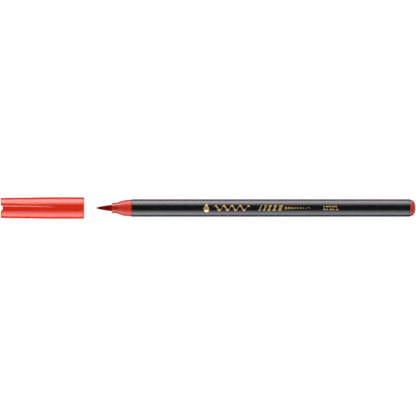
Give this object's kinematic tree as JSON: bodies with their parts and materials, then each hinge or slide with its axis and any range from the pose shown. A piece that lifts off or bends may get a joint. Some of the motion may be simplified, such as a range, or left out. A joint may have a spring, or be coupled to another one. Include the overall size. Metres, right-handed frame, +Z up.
{
  "type": "brush pen",
  "caption": "Slim round brush pen with a pointed sprung tuft, domed end plug, inner ink reservoir and a pull-off cap lying in line with it.",
  "frame": {"origin": "on the surface that the cap rests on, under the pen's axis, midway along the pen and its cap together", "axes": "+X along the pen's axis from the tuft towards the end plug, +Z up, +Y to the side; the air channel across the cap's closed end runs along Z"},
  "size_m": [0.202, 0.0104, 0.0105],
  "materials": {
    "barrel_black": "satin",
    "section_red": "gloss, slightly translucent",
    "tuft_fibre": "wet filaments",
    "tuft_root": "fused filaments",
    "bush_natural": "satin",
    "feed_fibre": "bonded fibre",
    "core_fibre": "inked fibre",
    "film_clear": "thin film",
    "plug_red": "satin gloss",
    "gold_foil": "hot-stamped foil",
    "cap_red": "gloss",
    "liner_natural": "satin"
  },
  "bodies": {
    "pen": {"barrel": "barrel_black", "front_section": "section_red", "tuft_base": "tuft_root", "retaining_bush": "bush_natural", "feed_rod": "feed_fibre", "ink_core": "core_fibre", "core_film": "film_clear", "end_plug": "plug_red", "foil_print": "gold_foil"},
    "tuft": {"tuft": "tuft_fibre"},
    "cap": {"cap_shell": "cap_red", "cap_liner": "liner_natural"}
  },
  "joints": [
    {"name": "cap_slide", "type": "slide", "parent": "pen", "child": "cap", "axis": [1, 0, 0], "range_m": [0, 0.0419]},
    {"name": "tuft_flex", "type": "hinge", "parent": "pen", "child": "tuft", "pos_m": [-0.04693, 0, 0.00525], "axis": [0, 0, 1], "range_deg": [-20, 20], "stiffness_Nm_per_rad": 0.004}
  ]
}
